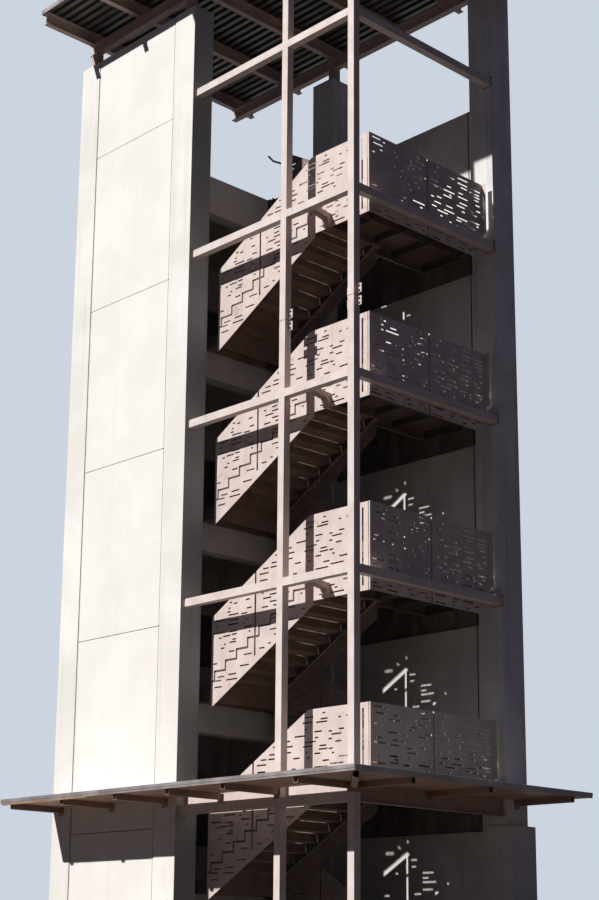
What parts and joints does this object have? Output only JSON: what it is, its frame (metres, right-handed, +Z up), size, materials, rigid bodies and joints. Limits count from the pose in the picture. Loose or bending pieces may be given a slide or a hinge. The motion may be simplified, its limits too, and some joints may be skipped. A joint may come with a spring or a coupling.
{
  "type": "fire escape stair tower",
  "caption": "Tall open stair tower: concrete frame and front pylon, slender steel posts, two steel flights a storey behind slotted plate guards, flat ribbed roof and a low canopy.",
  "frame": {"origin": "foot of the slender corner post, on its centre line, at ground level", "axes": "+X to the right along the front, +Y back into the building, +Z up"},
  "size_m": [10.22, 6.22, 20.5266],
  "materials": {
    "panel_concrete": "smooth pale precast concrete with faint form marks",
    "frame_concrete": "smooth cast concrete with form marks and rain streaks",
    "wall_concrete": "smooth precast concrete",
    "window_panel": "dark panels in the window openings",
    "roof_sheet": "ribbed coated sheet",
    "canopy_zinc": "folded grey sheet edge",
    "guard_steel": "primed plate, taupe-pink, matt",
    "stair_steel": "primed folded steel, matt",
    "frame_steel": "primed square tube, taupe-pink, matt",
    "rail_steel": "primed pipe, matt",
    "roof_steel": "primed rolled steel, matt"
  },
  "bodies": {
    "root": {"corner_post": "frame_steel", "middle_post": "frame_steel", "pylon_left_column": "frame_concrete", "pylon_right_column": "frame_concrete", "pylon_panels": "panel_concrete", "right_column": "frame_concrete", "rear_middle_column": "frame_concrete", "rear_left_column": "frame_concrete", "stair_spandrels": "wall_concrete", "lobby_rear_spandrels": "wall_concrete", "lobby_side_spandrels": "wall_concrete", "stair_windows": "window_panel", "lobby_windows": "window_panel", "lobby_floor_1": "frame_concrete", "lobby_floor_2": "frame_concrete", "lobby_floor_3": "frame_concrete", "lobby_floor_4": "frame_concrete", "lobby_floor_5": "frame_concrete", "landing_1": "stair_steel", "landing_2": "stair_steel", "landing_3": "stair_steel", "landing_4": "stair_steel", "front_flight_1": "stair_steel", "front_flight_2": "stair_steel", "front_flight_3": "stair_steel", "front_flight_4": "stair_steel", "back_flight_1": "stair_steel", "back_flight_2": "stair_steel", "back_flight_3": "stair_steel", "back_flight_4": "stair_steel", "back_flight_5": "stair_steel", "front_guard_1": "guard_steel", "front_guard_2": "guard_steel", "front_guard_3": "guard_steel", "front_guard_4": "guard_steel", "side_guard_1": "guard_steel", "side_guard_2": "guard_steel", "side_guard_3": "guard_steel", "side_guard_4": "guard_steel", "front_well_guards": "guard_steel", "back_well_guards": "guard_steel", "inner_rails": "rail_steel", "frame_beams_1": "frame_steel", "frame_beams_2": "frame_steel", "frame_beams_3": "frame_steel", "frame_beams_4": "frame_steel", "frame_beams_5": "frame_steel", "bracket_arms": "frame_steel", "threshold_plates": "stair_steel", "roof_beams": "roof_steel", "roof_purlins": "roof_steel", "roof_deck": "roof_sheet", "roof_stubs": "roof_steel", "canopy_plate": "canopy_zinc", "canopy_outriggers": "roof_steel", "canopy_beams": "roof_steel"}
  },
  "joints": []
}
